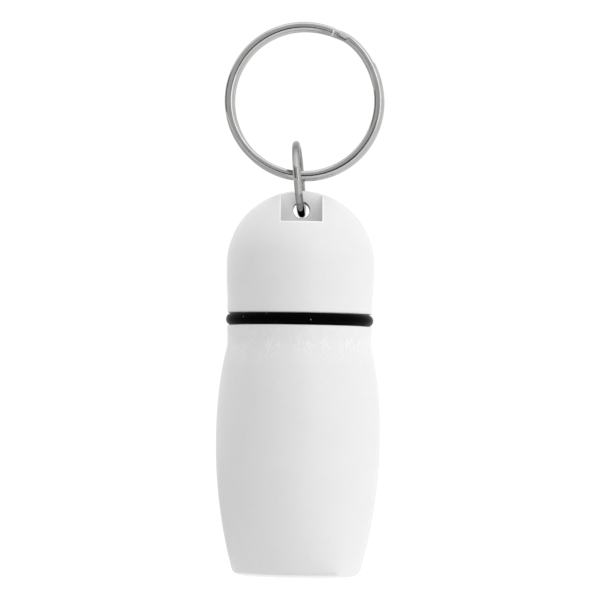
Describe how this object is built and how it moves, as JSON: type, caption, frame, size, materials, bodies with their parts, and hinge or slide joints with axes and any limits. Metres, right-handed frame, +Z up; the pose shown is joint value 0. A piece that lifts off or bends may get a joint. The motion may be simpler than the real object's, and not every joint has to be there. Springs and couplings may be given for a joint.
{
  "type": "pill holder",
  "caption": "Capsule-shaped screw-top pill holder with a domed cap, a black rubber seal and a split key ring on a small wire link.",
  "frame": {"origin": "centre of the barrel's flat base", "axes": "+Z up along the capsule's axis towards the cap and the rings, -Y towards the front of the cap's cross hole, +X to the right seen from the front"},
  "size_m": [0.0257, 0.0256, 0.0868],
  "materials": {
    "white_plastic": "satin moulded white plastic",
    "black_rubber": "satin black rubber",
    "plated_steel": "bright nickel plating on spring wire"
  },
  "bodies": {
    "barrel": {"barrel": "white_plastic"},
    "seal": {"seal_ring": "black_rubber"},
    "cap": {"cap": "white_plastic"},
    "link": {"link": "plated_steel"},
    "split_ring": {"split_ring": "plated_steel"}
  },
  "joints": [
    {"name": "cap_turn", "type": "hinge", "parent": "barrel", "child": "seal", "pos_m": [0, 0, 0.039], "axis": [0, 0, 1], "range_deg": [0, 1440]},
    {"name": "cap_rise", "type": "slide", "parent": "seal", "child": "cap", "axis": [0, 0, 1], "range_m": [0, 0.012]},
    {"name": "link_swing", "type": "hinge", "parent": "cap", "child": "link", "pos_m": [0.00009, 0, 0.05641], "axis": [0.061, 0.9981, 0], "range_deg": [-25, 35]},
    {"name": "split_ring_swing", "type": "hinge", "parent": "link", "child": "split_ring", "pos_m": [-0.00028, 0.00338, 0.06253], "axis": [1, 0, 0], "range_deg": [-120, 90]}
  ],
  "couplings": [
    {"joint": "cap_rise", "follows": "cap_turn", "m_per_rad": 0.00047746}
  ]
}
